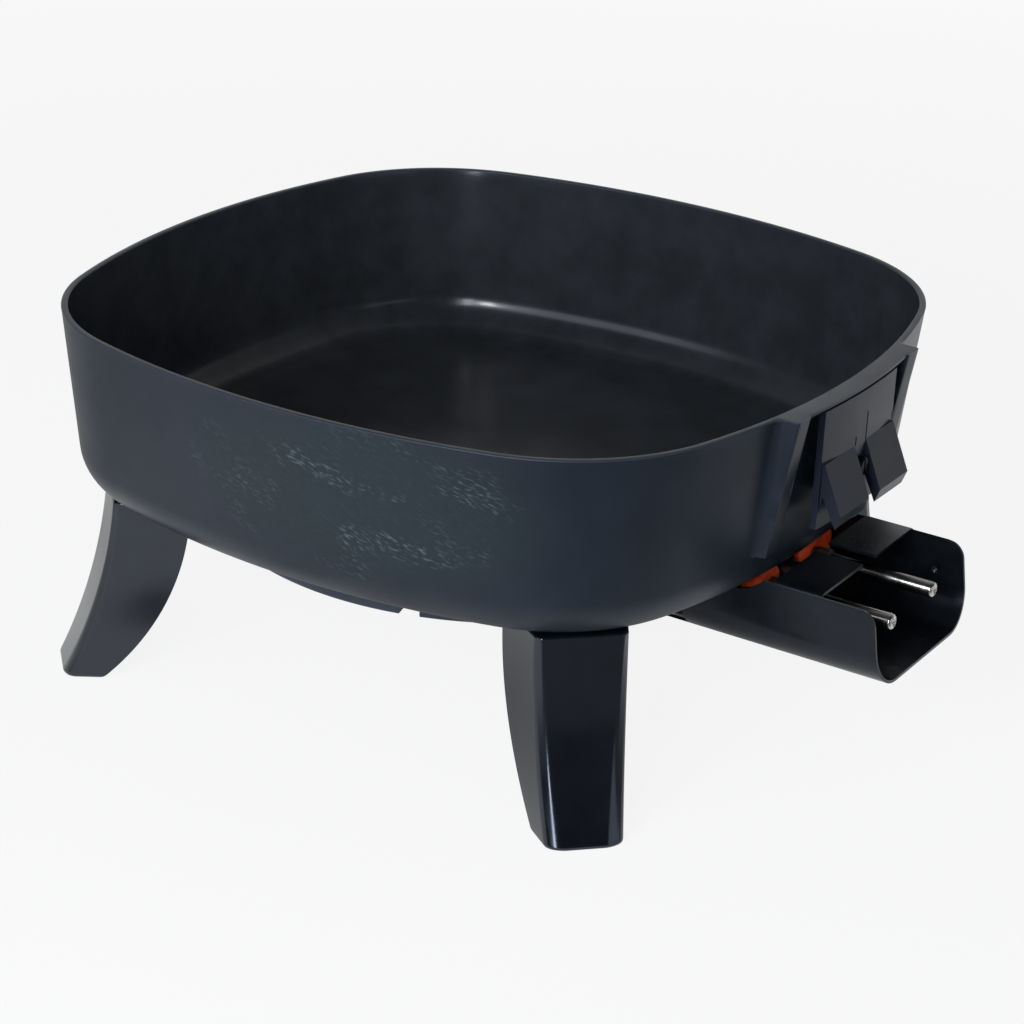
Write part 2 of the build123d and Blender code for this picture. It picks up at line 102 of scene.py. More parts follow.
# Steps across a rib's edge, in millimetres, and how much of the rib's height each has. Both
# edges start in a fillet, stand up and end in a small round; the outer fillet is the wider one.
INNER_STEP = np.array([-1.2, -0.6, -0.25, -0.03, 0.0, 0.08, 0.25, 0.5, 0.9])
INNER_RISE = np.array([0.0, 0.03, 0.1, 0.28, 0.87, 0.94, 0.975, 0.993, 1.0])
OUTER_STEP = np.array([-3.4, -2.2, -1.2, -0.5, -0.04, 0.0, 0.12, 0.4, 0.9])
OUTER_RISE = np.array([0.0, 0.03, 0.12, 0.25, 0.42, 0.87, 0.935, 0.982, 1.0])

# Legs. Each arc has its distance from the pan's axis at the top, at the foot, and its bow. Each
# width is its size at the foot, how much it grows to the top, and its swell between them.
CORNERS = {"front": -45, "left": -135, "back": 135, "right": 45}
LEG_OUTER = (150.74, 171.34, 4.1)
LEG_INNER = (122.34, 156.24, 9.3)
LEG_BACK_WIDTH = (32.5, 12.4, 16.0)
LEG_SIDE_WIDTH = (28.2, 5.6, 6.0)
LEG_FACE_WIDTH = (19.1, 10.7, 2.8)
LEG_CHAMFER = 2.2
LEG_WALL = 3.2
LEG_FLOOR = 4.0
LEG_GAP = 0.15
LEG_SEAT_DROP = 11.35
LEG_SEAT_SHEET = 4.2
LEG_TOP_EDGE = 0.8
LEG_CORNER = 0.8
LEG_CORNER_GROWTH = 1.5
POCKET_HALF = 15.65
POCKET_NOSE = 138.39

# Shroud, measured outside
SHROUD_HALF = 38.0
SHROUD_TOP = 80.7
SHROUD_BOTTOM = 48.3
SHROUD_END = 188.7
SHROUD_CREASE = 2.2
SHROUD_BEND = 15.0
DENT_PLACE = (174.7, 66.9)
DENT_REACH = 2.3
DENT_SLOPE = 1.3

# Terminals: the half sections of the turned pieces are (along X, radius)
SIDES = {"left": -1, "right": 1}
TERMINAL_HEIGHT = 67.6
TERMINAL_HALF = 17.3
SEAL_CENTRE = (130.3, 21.1, 67.0)
SEAL_HALF = (2.9, 13.2, 8.6)
PIN = [
    (140.5, 0), (140.5, 3.1), (181.9, 3.1), (182.35, 3.02), (182.75, 2.78), (183.0, 2.45),
    (183.1, 2.1), (183.1, 1.75), (182.95, 1.6), (182.95, 1.45), (183.05, 1.3), (182.9, 0.9),
    (182.6, 0.5), (182.5, 0),
]
BUSHING = [(135.1, 0), (135.1, 4.2), (139.6, 4.2), (140.1, 4.05), (140.35, 3.75), (140.4, 3.3), (140.4, 0)]
SLEEVE = [
    (113.1, 0), (113.1, 4.1), (138.8, 4.1), (139.0, 3.9), (139.0, 3.5), (138.8, 3.3), (113.9, 3.3),
    (113.9, 0),
]

# The photograph: its width in pixels, the pixel of the rim's middle and the sensor's width in mm
PICTURE = 1024
RIM_PIXEL = (501.804, 293.773)
SENSOR = 36
LAMP_AIM = (0, 0, 0.09)
LAMPS = (
    ("wide_softbox", (-0.17, -1.22, 0.58), 1.4, 0.6, "wide", "#e6efff"),
    ("key_softbox", (0.08, -1.26, 0.62), 0.26, 0.2, "key", "#f8faff"),
    ("tall_softbox", (0.42, -1.15, 0.44), 0.16, 0.8, "tall", "#eef3ff"),
    ("side_softbox", (1.25, -0.05, 0.28), 1.1, 0.42, "side", "#e6efff"),
)


def size(name):
    """One of the sizes that a user may change, in millimetres."""
    return getattr(bpy.context.scene.skillet_sizes, name) / MM


def smooth(t):
    """0 below 0, 1 above 1 and 3t^2 - 2t^3 between."""
    t = np.clip(t, 0, 1)
    return t * t * (3 - 2 * t)


def arc(centre, radius, start, end, steps):
    """Points on a circle from one angle to another: centre + radius (cos a, sin a)."""
    a = np.linspace(start, end, steps)
    return np.stack([centre[0] + radius * np.cos(a), centre[1] + radius * np.sin(a)], -1)


def cells(rows, columns, wrap_rows=False, wrap_columns=False):
    """Corner numbers of each cell of a grid: (r, c), (r, c+1), (r+1, c+1), (r+1, c)."""
    r = np.arange(rows if wrap_rows else rows - 1)
    c = np.arange(columns if wrap_columns else columns - 1)
    r, c = np.meshgrid(r, c, indexing="ij")
    r_next = (r + 1) % rows
    c_next = (c + 1) % columns
    corners = [r * columns + c, r * columns + c_next, r_next * columns + c_next, r_next * columns + c]
    return np.stack(corners, -1)


def placed(points):
    """Millimetres from the pan's axis to metres in the shared frame."""
    return (np.asarray(points, float) + (PAN_AXIS, 0, 0)) * MM


def turned(points, angle):
    """Points turned about the upright axis by an angle in radians."""
    x, y, z = np.moveaxis(points, -1, 0)
    return np.stack([x * cos(angle) - y * sin(angle), x * sin(angle) + y * cos(angle), z], -1)


class Surface:
    """Grids of points gathered into one mesh, with a finish number for each cell."""

    def __init__(self):
        self.points, self.faces, self.finishes, self.count = [], [], [], 0

    def grid(self, points, wrap_rows=False, wrap_columns=False, finish=0, keep=None):
        """Adds a grid of rows by columns points; keep says which of its cells are there."""
        rows, columns = points.shape[:2]
        found = cells(rows, columns, wrap_rows, wrap_columns)
        kinds = np.broadcast_to(finish, found.shape[:2])
        keep = np.ones(found.shape[:2], bool) if keep is None else keep
        self.faces += (found[keep] + self.count).tolist()
        self.finishes += kinds[keep].tolist()
        self.points.append(points.reshape(-1, 3))
        self.count += rows * columns
        return self

    def cap(self, *rings):
        """Closes each ring of corners with one flat face, of the first finish."""
        for points in rings:
            self.faces.append(list(range(self.count, self.count + len(points))))
            self.finishes.append(0)
            self.points.append(np.asarray(points, float))
            self.count += len(points)
        return self

    def mesh(self, name, sharp=35.0):
        """The mesh, with its doubles merged, its faces outwards and its edges sharp past an angle."""
        mesh = bpy.data.meshes.new(name)
        mesh.from_pydata(placed(np.concatenate(self.points)), [], self.faces)
        mesh.polygons.foreach_set("material_index", np.array(self.finishes, np.int32))
        shell = bmesh.new()
        shell.from_mesh(mesh)
        bmesh.ops.remove_doubles(shell, verts=shell.verts, dist=SAME_POINT)
        bmesh.ops.dissolve_degenerate(shell, edges=shell.edges, dist=SAME_POINT)
        bmesh.ops.recalc_face_normals(shell, faces=shell.faces)
        shell.to_mesh(mesh)
        shell.free()
        mesh.shade_smooth()
        mesh.set_sharp_from_angle(angle=radians(sharp))
        return mesh


def linked(name, data):
    """A new object in the scene that shows this data."""
    obj = bpy.data.objects.new(name, data)
    bpy.context.scene.collection.objects.link(obj)
    return obj


def piece(name, surface, finishes, slot, replaced, bevel=0.0, sheet=0.0, sharp=35.0):
    """Puts a surface into the scene as a piece that stands for CAD nodes."""
    obj = linked(name, surface.mesh(name, sharp))
    for finish in finishes:
        obj.data.materials.append(finish)
    if sheet:
        solid = obj.modifiers.new("Sheet", "SOLIDIFY")
        solid.thickness = sheet * MM
        solid.offset = -1
        solid.use_even_offset = True
    if bevel:
        edge = obj.modifiers.new("Edges", "BEVEL")
        edge.width = bevel * MM
        edge.segments = 3
        edge.limit_method = "ANGLE"
        edge.angle_limit = radians(38)
        edge.harden_normals = True
    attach(obj, "root")
    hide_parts(*replaced)


def spun(profile, centre, axis="x", steps=48):
    """A profile of (along, radius) pairs turned round an axis through centre."""
    a = np.linspace(0, 2 * pi, steps, endpoint=False)
    along, radius = np.asarray(profile, float).T
    ring = radius[:, None] * np.stack([np.cos(a), np.sin(a)])[:, None]
    level = np.broadcast_to(along[:, None], ring[0].shape)
    if axis == "x":
        points = np.stack([level, ring[0], ring[1]], -1)
    else:
        points = np.stack([ring[0], ring[1], level], -1)
    return points + np.asarray(centre, float)


def rounded_box(outline, low, high, edge):
    """An upright prism on a closed outline, with its top and bottom edges rounded by edge."""
    centre = outline.mean(0)
    a = np.linspace(0, pi / 2, 4)
    inset = edge * (1 - np.sin(a))
    rise = edge * (1 - np.cos(a))
    levels = np.concatenate([low + rise, (high - rise)[::-1]])
    shrink = np.concatenate([inset, inset[::-1]])
    away = outline - centre
    reach = np.linalg.norm(away, axis=-1, keepdims=True)
    rings = centre + away * (1 - shrink[:, None, None] / reach)
    heights = np.broadcast_to(levels[:, None, None], rings.shape[:2] + (1,))
    return np.concatenate([rings, heights], -1)


def rounded_rectangle(x0, x1, y0, y1, radius):
    """A rectangle's outline with quarter-circle corners, anticlockwise."""
    corners = [(x1, y0, -pi / 2), (x1, y1, 0), (x0, y1, pi / 2), (x0, y0, pi)]
    middle = np.array([(x0 + x1) / 2, (y0 + y1) / 2])
    out = []
    for x, y, start in corners:
        inward = np.sign(middle - (x, y)) * radius
        out.append(arc((x + inward[0], y + inward[1]), radius, start, start + pi / 2, 6))
    return np.concatenate(out)


def linear(hex_colour):
    """A hex sRGB colour as linear red, green, blue and alpha."""
    s = np.array([int(hex_colour[k : k + 2], 16) for k in (1, 3, 5)]) / 255
    low = s / 12.92
    high = ((s + 0.055) / 1.055) ** 2.4
    return (*np.where(s <= 0.04045, low, high), 1.0)


def shade(colour, factor):
    """A colour made darker or lighter by a factor."""
    return (*[min(1.0, c * factor) for c in colour[:3]], 1.0)


def per_mm(spacing):
    """A texture's scale for a pattern whose features are spacing millimetres apart."""
    return 1 / (spacing * MM)


def add(tree, kind, inputs=None, **settings):
    """Adds a node with its settings and links.

    An input is a value, another node's output, or a node, which gives its first output in use.
    """
    made = tree.nodes.new(kind)
    for name, value in settings.items():
        setattr(made, name, value)
    for name, value in (inputs or {}).items():
        if isinstance(value, bpy.types.Node):
            value = next(socket for socket in value.outputs if socket.enabled)
        if isinstance(value, bpy.types.NodeSocket):
            tree.links.new(value, made.inputs[name])
        else:
            made.inputs[name].default_value = value
    return made


def object_space(tree, scale=(1, 1, 1), turn=0, kind="POINT"):
    """The piece's own coordinates, scaled, and turned about Y."""
    where = add(tree, "ShaderNodeTexCoord").outputs["Object"]
    inputs = {"Vector": where, "Scale": scale, "Rotation": (0, turn, 0)}
    return add(tree, "ShaderNodeMapping", inputs, vector_type=kind)


def faded(tree, where, *fades):
    """A share that starts at 1 and is multiplied along a chain of fades.

    Each fade measures a distance to a point or a reach along a direction, and carries a range
    of it smoothly onto a range of shares. It is (operation, vector, start, end, low, high).
    """
    amount = 1.0
    for operation, vector, start, end, low, high in fades:
        reach = add(tree, "ShaderNodeVectorMath", {0: where, 1: vector}, operation=operation)
        ranges = {"Value": reach, "From Min": start, "From Max": end, "To Min": low, "To Max": high}
        share = add(tree, "ShaderNodeMapRange", ranges, interpolation_type="SMOOTHSTEP")
        amount = add(tree, "ShaderNodeMath", {0: amount, 1: share}, operation="MULTIPLY")
    return amount


def finish_material(name, roughness, metallic=0.0, ior=1.5, tint="#ffffff"):
    """A new material with a Principled shader; returns both."""
    material = bpy.data.materials.new(name)
    material.use_nodes = True
    shader = material.node_tree.nodes["Principled BSDF"]
    shader.inputs["Roughness"].default_value = roughness
    shader.inputs["Metallic"].default_value = metallic
    shader.inputs["IOR"].default_value = ior
    shader.inputs["Specular Tint"].default_value = linear(tint)
    return material, shader


def mottled(shader, colour, dark, light, spacing, where=None):
    """Colours the shader between a darker and a lighter shade by a noise; returns the ramp."""
    tree = shader.id_data
    where = where or object_space(tree)
    inputs = {"Vector": where, "Scale": per_mm(spacing), "Detail": 3.0, "Roughness": 0.6}
    ramp = add(tree, "ShaderNodeValToRGB", {"Fac": add(tree, "ShaderNodeTexNoise", inputs)})
    for element, position, factor in zip(ramp.color_ramp.elements, (0.35, 0.65), (dark, light)):
        element.position = position
        element.color = shade(colour, factor)
    tree.links.new(ramp.outputs["Color"], shader.inputs["Base Color"])
    return ramp


def grained(shader, spacing, depth, where=None, detail=2.0):
    """Gives the shader a bump of noise, with its spacing and depth in millimetres."""
    tree = shader.id_data
    where = where or object_space(tree)
    height = add(tree, "ShaderNodeTexNoise", {"Vector": where, "Scale": per_mm(spacing), "Detail": detail})
    bump = add(tree, "ShaderNodeBump", {"Height": height, "Distance": depth * MM, "Strength": 1.0})
    tree.links.new(bump.outputs["Normal"], shader.inputs["Normal"])


def ranged_roughness(shader, spacing, low, high):
    """Lets the roughness wander between two values, over patches spacing millimetres apart."""
    tree = shader.id_data
    inputs = {"Vector": object_space(tree), "Scale": per_mm(spacing), "Detail": 2.0}
    noise = add(tree, "ShaderNodeTexNoise", inputs)
    ranges = {"Value": noise, "From Min": 0.3, "From Max": 0.7, "To Min": low, "To Max": high}
    span = add(tree, "ShaderNodeMapRange", ranges)
    tree.links.new(span.outputs["Result"], shader.inputs["Roughness"])


def nonstick_fluoropolymer(colour):
    """Sprayed and baked non-stick: satin, near black, with a fine pebble of its spray."""
    material, shader = finish_material("nonstick_fluoropolymer", 0.2, ior=1.46)
    mottled(shader, colour, 0.85, 1.2, 18)
    grained(shader, 0.7, 0.012)
    ranged_roughness(shader, 30, 0.17, 0.23)
    return material


def baked_enamel(name, colour):
    """Baked silicone enamel on cast aluminium: satin blue-grey, with painted sheen on its front wall.

    In a soft oval there the enamel turns a little teal and has groups of faint, light streaks that slant
    19 degrees: painted sheen, light glinting on slanting brush marks in the enamel. They are drawn coarser
    than real ones, so that they show at the photograph's size. The groups and the streaks are noises
    drawn out along the slant, and multiply how strong the sheen in the oval is.
    """
    material, shader = finish_material(name, 0.4, ior=1.4, tint="#e3efff")
    tree = shader.id_data
    base = mottled(shader, colour, 0.9, 1.15, 25)
    amount = patch = brush_mark_sheen_oval(tree)
    for stretch, spacing, roughness, start, end, low in (
        (2.2, 13, 0.5, 0.52, 0.66, 0.08),
        (4.5, 0.65, 0.4, 0.54, 0.7, 0.0),
    ):
        where = object_space(tree, (stretch, stretch, 1), radians(19), "TEXTURE")
        inputs = {"Vector": where, "Scale": per_mm(spacing), "Detail": 1.0, "Roughness": roughness}
        noise = add(tree, "ShaderNodeTexNoise", inputs)
        ranges = {"Value": noise, "From Min": start, "From Max": end, "To Min": low}
        shown = add(tree, "ShaderNodeMapRange", ranges)
        amount = add(tree, "ShaderNodeMath", {0: shown, 1: amount}, operation="MULTIPLY")
    # Painted sheen: the teal tint and the light streak colour stand for light glinting on the brush marks.
    teal = add(tree, "ShaderNodeMix", {0: patch, 6: base, 7: linear("#1d282b")}, data_type="RGBA")
    streak_sheen = add(tree, "ShaderNodeMix", {0: amount, 6: teal, 7: linear("#575f64")}, data_type="RGBA")
    tree.links.new(streak_sheen.outputs[2], shader.inputs["Base Color"])
    grained(shader, 1.1, 0.014)
    ranged_roughness(shader, 22, 0.36, 0.43)
    return material


def brush_mark_sheen_oval(tree):
    """How strong the painted sheen is: 0.8 in a soft oval on the pan's front wall, 0 away from it."""
    where = add(tree, "ShaderNodeTexCoord").outputs["Object"]
    centre = Vector(((PAN_AXIS + 38) * MM, -0.148, 0.119))
    offset = add(tree, "ShaderNodeVectorMath", {0: where, 1: centre}, operation="SUBTRACT")
    radii = {0: offset, 1: (1 / 0.088, 1 / 0.05, 1 / 0.036)}
    scaled = add(tree, "ShaderNodeVectorMath", radii, operation="MULTIPLY")
    return faded(tree, scaled, ("DISTANCE", (0, 0, 0), 0.5, 1.0, 0.8, 0.0))


def moulded_phenolic(colour):
    """Black phenolic moulding: hard, glossy, very slightly wavy from the mould."""
    material, shader = finish_material("moulded_phenolic", 0.14, ior=1.66, tint="#e6f0ff")
    mottled(shader, colour, 0.85, 1.25, 9)
    grained(shader, 14, 0.03, detail=1.0)
    ranged_roughness(shader, 16, 0.11, 0.18)
    return material


def painted_sheet_steel(colour):
    """Black stove paint on bent sheet: satin, with a fine orange peel."""
    material, shader = finish_material("stove_painted_sheet_steel", 0.28, ior=1.42, tint="#e3efff")
    mottled(shader, colour, 0.8, 1.3, 7)
    grained(shader, 1.1, 0.007)
    ranged_roughness(shader, 12, 0.26, 0.31)
    return material


def plated_steel(name, colour, low, high):
    """Nickel or zinc plate on turned steel: bright, with fine rings from the tool."""
    material, shader = finish_material(name, low, metallic=1.0)
    along = object_space(shader.id_data, scale=(18, 1, 1))
    mottled(shader, colour, 0.82, 1.0, 5, where=along)
    grained(shader, 3, 0.006, where=along)
    ranged_roughness(shader, 4, low, high)
    return material


def black_oxide(colour):
    """Black oxide on steel screws: a thin dark skin, dull, slightly blotched by its oil."""
    material, shader = finish_material("black_oxide_on_steel", 0.45, metallic=1.0)
    mottled(shader, colour, 0.7, 1.3, 3)
    grained(shader, 0.8, 0.006)
    return material


def drawn_stainless(colour):
    """Drawn stainless tube: grey, dull from heat."""
    material, shader = finish_material("drawn_stainless_tube", 0.38, metallic=1.0)
    mottled(shader, colour, 0.75, 1.05, 6)
    grained(shader, 0.8, 0.008)
    return material


def silicone_rubber(colour):
    """Red silicone sealant: soft satin with a slightly lumpy skin."""
    material, shader = finish_material("silicone_rubber", 0.42, ior=1.41)
    mottled(shader, colour, 0.7, 1.1, 6)
    grained(shader, 3.5, 0.25)
    shader.inputs["Subsurface Weight"].default_value = 0.15
    shader.inputs["Subsurface Radius"].default_value = (0.002, 0.0008, 0.0005)
    return material


def fired_ceramic(name, colour, roughness):
    """Steatite whose dark colour is painted shade, with a soft shine, or pressed powder, pale, matt and
    grained.
    """
    material, shader = finish_material(name, roughness, ior=1.6)
    mottled(shader, colour, 0.88, 1.0, 2.5)
    grained(shader, 0.5, 0.01)
    return material


def number(name, description, default, **settings):
    """A property that holds one number."""
    return bpy.props.FloatProperty(name=name, description=description, default=default, **settings)


def length(name, description, default):
    """A length property whose default is given in millimetres."""
    return number(name, description, default * MM, unit="LENGTH", precision=4)


def colour(name, description, default):
    """A colour property whose default is a hex sRGB value."""
    return bpy.props.FloatVectorProperty(
        name=name, description=description, default=linear(default), size=4, min=0, max=1,
        subtype="COLOR",
    )


class SkilletSizes(bpy.types.PropertyGroup):
    """Sizes that a user may change; the solids set what the rest has to fit."""

    depth: length("Pan depth", "From the rim to the pan's underside", 72.8)
    bow: length("Side bow", "Radius of each bowed side", 311.0)
    corner: length("Corner", "Radius of each corner", 76.7)
    wall: length("Wall", "Thickness of the pan's wall", 2.6)
    floor: length("Floor", "Thickness of the pan's floor", 3.6)
    outer_fillet: length("Outer fillet", "Round between the wall and the underside", 18.6)
    inner_fillet: length("Inner fillet", "Round between the wall and the floor", 16.0)
    rim_edge: length("Rim edge", "Round on the rim's two edges", 0.6)
    leg_edge: length("Leg edge", "Round on the edge of each foot", 1.6)
    sheet: length("Shroud sheet", "Thickness of the shroud's sheet", 1.2)
    sheet_edge: length("Sheet edge", "Round on the cut edges of sheet", 0.42)


class SkilletFinishes(bpy.types.PropertyGroup):
    """Colours of the finishes."""

    inside: colour("Inside", "Non-stick coating", "#2b2e32")
    outside: colour("Outside", "Enamel on the pan's outside", "#1b222a")
    rim: colour("Rim", "Enamel on the rim's top", "#31373f")
    bracket: colour("Bracket", "Enamel on the handle bracket", "#141a25")
    legs: colour("Legs", "Phenolic of the legs", "#0b0f14")
    shroud: colour("Shroud", "Paint on the shroud", "#0d1014")
    pins: colour("Pins", "Nickel plate on the contact pins", "#d2cfc9")
    screws: colour("Screws", "Zinc plate on the screws", "#b4b3ae")
    oxide: colour("Oxide", "Black oxide on the bracket's screws", "#16161a")
    sheath: colour("Sheath", "Stainless sheath of the element", "#8d8983")
    seals: colour("Seals", "Silicone beside the pins", "#f4531f")
    # Painted shade: the bushings are coloured dark for the shade they sit in under the shroud's flange.
    bushing_shade: colour("Shading", "Glaze on the steatite bushings", "#4a443c")
    powder: colour("Powder", "Pressed magnesia in the element", "#d8ccb6")


class SkilletStage(bpy.types.PropertyGroup):
    """Camera and light."""

    azimuth: number("Azimuth", "Turn of the camera round the skillet", radians(31.81), subtype="ANGLE")
    elevation: number("Elevation", "Camera's height as an angle", radians(23.541), subtype="ANGLE")
    roll: number("Roll", "Tilt of the camera about its line of sight", radians(2.571), subtype="ANGLE")
    lens: number("Lens", "Focal length in millimetres on a 36 mm wide sensor", 99.25)
    distance: length("Distance", "Depth from the camera to the middle of the rim", 1084.888)
    paper: colour("Paper", "Floor and background", "#ffffff")
    wide: number("Wide softbox", "Power of the wide softbox", 4.8, unit="POWER")
    tall: number("Tall softbox", "Power of the tall softbox", 4.6, unit="POWER")
    key: number("Key softbox", "Power of the small key softbox", 5.6, unit="POWER")
    side: number("Side softbox", "Power of the low softbox at the side", 1.3, unit="POWER")
    fill: number("Fill", "Strength of the studio's diffuse light", 0.24)


def pan_outline():
    """Centre, radius and direction of the pan's outline at each step round it.

    Each side is an arc of the bow's radius and each corner one of the corner's, tangent where
    they meet. A point at an inset is centre + (radius - inset) (cos a, sin a). Round the
    bracket frame on the +X side the steps are close together.
    """
    bow, corner = size("bow"), size("corner")
    bow_centre = PAN_HALF - bow
    reach = bow - corner
    corner_centre = (bow_centre + sqrt(2 * reach**2 - bow_centre**2)) / 2
    turn = atan2(corner_centre, corner_centre - bow_centre)
    rib = np.concatenate([RIB_INNER + INNER_STEP, [42.0, 45.0], RIB_OUTER - OUTER_STEP[::-1]])
    across = np.concatenate([np.linspace(0, 36, 13), rib, np.linspace(53, 80, 9)])
    frame_angles = np.arcsin(across / bow)
    close = np.concatenate([-frame_angles[:0:-1], frame_angles])
    plain = np.linspace(-turn, turn, 41)[1:-1]
    corner_steps = np.linspace(turn, pi / 2 - turn, 33)
    rows = []
    for k in range(4):
        side = close if k == 0 else plain
        for middle, radius, angles in (
            ((bow_centre, 0), bow, side),
            ((corner_centre, corner_centre), corner, corner_steps),
        ):
            x, y = middle
            a = angles + k * pi / 2
            cx = x * cos(k * pi / 2) - y * sin(k * pi / 2)
            cy = x * sin(k * pi / 2) + y * cos(k * pi / 2)
            row = np.broadcast_to([cx, cy, radius, 0], (len(a), 4)).copy()
            row[:, 3] = a
            rows.append(row)
    return np.concatenate(rows)


def pan_profile():
    """The pan's section as rows of inset, height and finish: up the outside and down the inside.

    The walls lean out by the draft. Each fillet is an arc tangent to a wall and to a flat.
    """
    lean = tan(DRAFT)
    base = RIM - size("depth")
    wall, edge = size("wall"), size("rim_edge")

    def fillet(level, inset, radius, steps):
        """An arc from the flat at a level to a wall that has this inset at the rim."""
        tangent = level + radius * (1 - sin(DRAFT))
        centre = (-(inset + (RIM - tangent) * lean + radius * cos(DRAFT)), level + radius)
        return arc(centre, radius, -pi / 2, -DRAFT, steps)

    outside = fillet(base, 0, size("outer_fillet"), 18)
    inside = fillet(base + size("floor"), wall, size("inner_fillet"), 18)[::-1]
    heights = np.concatenate([
        np.linspace(outside[-1][1], RIB_BOTTOM - 0.9, 4)[1:],
        RIB_BOTTOM + INNER_STEP[2:],
        np.linspace(96, LEDGE_BOTTOM, 24),
        [LEDGE_BOTTOM, LIP_BOTTOM, LIP_BOTTOM],
    ])
    up = np.stack([-(RIM - heights) * lean, heights], -1)
    outer_edge = arc((-edge, RIM - edge), edge, 0, pi / 2, 5)
    inner_edge = arc((edge - wall, RIM - edge), edge, pi / 2, pi, 5)
    down = np.linspace(RIM - edge, inside[0][1], 24)[1:-1]
    down = np.stack([-wall - (RIM - down) * lean, down], -1)
    parts = [outside, up, outer_edge, inner_edge, down, inside]
    kinds = [0] * (len(outside) + len(up)) + [1] * (len(outer_edge) + len(inner_edge) - 1)
    kinds += [2] * (1 + len(down) + len(inside))
    rows = np.concatenate(parts)
    return -rows[:, 0], rows[:, 1], np.array(kinds), len(outside) + len(up)


def frame_height(x, y, z, row, ledge_rows):
    """How far the bracket frame stands out along +X from the wall at (x, y, z).

    Two ribs, whose faces are flat and lean, end at a lower height. A ledge joins them: its
    face follows the pan's bow, and its lip stands further out than the part below it.
    """
    across = np.abs(y)
    outer = np.interp(RIB_OUTER - across, OUTER_STEP, OUTER_RISE)
    inner = np.interp(across - RIB_INNER, INNER_STEP, INNER_RISE)
    end = np.interp(z - RIB_BOTTOM, INNER_STEP, INNER_RISE)
    slope = (RIB_TOP_REACH - RIB_BOTTOM_REACH) / (RIM - RIB_BOTTOM)
    face = PAN_HALF + RIB_BOTTOM_REACH + slope * (z - RIB_BOTTOM)
    rib = np.maximum(face - x, 0) * np.minimum(outer, inner) * end
    bow_centre = PAN_HALF - size("bow")
    reach = np.interp(row, ledge_rows, [0, 0, LEDGE_REACH, LEDGE_REACH, LIP_REACH])
    shelf = bow_centre + np.sqrt((PAN_HALF + reach - bow_centre) ** 2 - y**2)
    ledge = np.where(row >= ledge_rows[1], np.maximum(shelf - x, 0), 0)
    ledge = ledge * smooth((RIB_OUTER - across) / (RIB_OUTER - LEDGE_HALF))
    return np.maximum(rib, ledge)


def pan_shell():
    """The bowl: the profile carried round the outline, with the bracket frame on its +X side."""
    outline = pan_outline()
    inset, height, kinds, rim_row = pan_profile()
    cx, cy, radius, angle = (v[:, None] for v in outline.T)
    reach = radius - inset[None, :]
    x = cx + reach * np.cos(angle)
    y = cy + reach * np.sin(angle)
    z = np.broadcast_to(height[None, :], x.shape).copy()
    row = np.arange(len(height))[None, :] * np.ones_like(x)
    # Of the last rows below the rim, the ledge stands out at the third from the end and its lip
    # at the last.
    ledge_rows = rim_row - 1 - np.array([4, 2.999, 2, 1, 0])
    on_side = (np.abs(cy) < 1) & (cx < 0) & (np.cos(angle) > 0.9)
    outer = on_side & (row <= rim_row + 4)
    stands = np.where(outer, frame_height(x, y, z, np.minimum(row, rim_row - 1), ledge_rows), 0)
    points = np.stack([x + stands, y, z], -1)
    surface = Surface()
    surface.grid(points, wrap_rows=True, finish=kinds[None, :-1])
    share = np.linspace(1, 0, 9)[None, :, None]
    for edge, kind in ((points[:, 0], 0), (points[:, -1], 2)):
        flat = edge[:, None] * np.concatenate([share, share, np.ones_like(share)], -1)
        surface.grid(flat, wrap_rows=True, finish=kind)
    return surface


class SKILLET_OT_pan(bpy.types.Operator):
    """Build the pan casting: bowl, bracket frame, ring and bosses"""

    bl_idname = "skillet.pan"
    bl_label = "Pan"

    def execute(self, context):
        colours = context.scene.skillet_finishes
        inside = nonstick_fluoropolymer(colours.inside)
        outside = baked_enamel("baked_enamel_on_cast_aluminium", colours.outside)
        rim = baked_enamel("baked_enamel_on_rim", colours.rim)
        stands_for = ("coated_aluminium", ["pan_body"])
        piece("pan_shell", pan_shell(), [outside, rim, inside], *stands_for, sharp=40)
        piece("pan_ring", base_ring(), [rim], *stands_for)
        piece("pan_bosses", bosses(), [outside], *stands_for)
        return {"FINISHED"}


def base_ring():
    """The ring under the pan: a rounded section turned round the axis, notched in two places.

    Each side of a notch has two steps at the same angle: the first keeps the height of the
    stretch before it and the second has that of the stretch after it.
    """
    half = NOTCH_WIDTH / 2 / RING_OUTER
    jumps = [a + s * half for a in (-NOTCH_ANGLE, NOTCH_ANGLE) for s in (-1, 1)]
    steps = np.sort(np.concatenate([np.linspace(-pi, pi, 193)[:-1], jumps, jumps]))
    gap = np.min(np.abs(np.abs(steps)[:, None] - NOTCH_ANGLE), -1)
    inside = gap < half - 1e-6
    at_jump = np.abs(gap - half) < 1e-6
    first = at_jump & (np.abs(np.roll(steps, -1) - steps) < 1e-9)
    second = at_jump & ~first
    notched = inside | (second & np.roll(inside, -1)) | (first & np.roll(inside, 1))
    top = RIM - size("depth") + CAST_OVERLAP
    outer = arc((RING_OUTER - RING_EDGE, RING_BOTTOM + RING_EDGE), RING_EDGE, -pi / 2, 0, 5)
    section = np.concatenate([[(RING_INNER, top), (RING_INNER, RING_BOTTOM)], outer, [(RING_OUTER, top)]])
    radius, height = section.T
    lift = np.where(height[None, :] < top, np.where(notched, NOTCH_DEPTH, 0)[:, None], 0)
    z = np.minimum(height[None, :] + lift, top)
    r = np.broadcast_to(radius[None, :], z.shape)
    a = steps[:, None]
    points = np.stack([r * np.cos(a), r * np.sin(a), z], -1)
    return Surface().grid(points, wrap_rows=True, wrap_columns=True)


